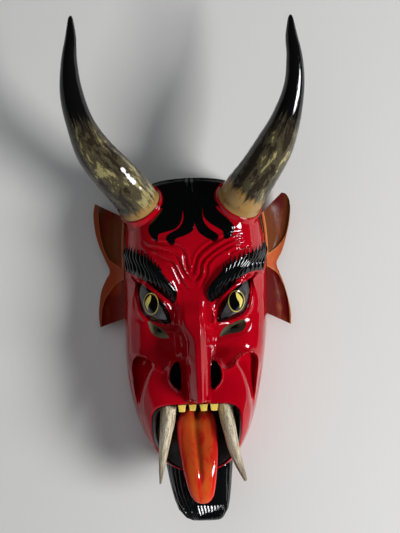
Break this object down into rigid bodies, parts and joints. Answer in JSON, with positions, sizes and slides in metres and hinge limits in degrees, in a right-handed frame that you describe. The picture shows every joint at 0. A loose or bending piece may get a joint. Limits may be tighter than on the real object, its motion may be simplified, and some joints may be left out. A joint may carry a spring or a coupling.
{
  "type": "carved devil face mask",
  "caption": "Carved wooden devil face mask in glossy red lacquer with cow horns, pointed ears, tusks, a hanging tongue, black hair, brows and beard, and a hollow back with eye slots",
  "frame": {"origin": "middle of the mask's box on the plane of its back rim", "axes": "+Z the way the face looks, +Y from the beard towards the horn tips, +X across the face"},
  "size_m": [0.2906, 0.6128, 0.1575],
  "materials": {
    "head_lacquer": "gloss",
    "horn": "gloss",
    "ear_paint": "gloss",
    "tongue_paint": "gloss",
    "antler": "satin"
  },
  "bodies": {
    "root": {"head": "head_lacquer", "horn_left": "horn", "horn_right": "horn", "ear_left": "ear_paint", "ear_right": "ear_paint", "tongue": "tongue_paint", "tusk_left": "antler", "tusk_right": "antler"}
  },
  "joints": []
}
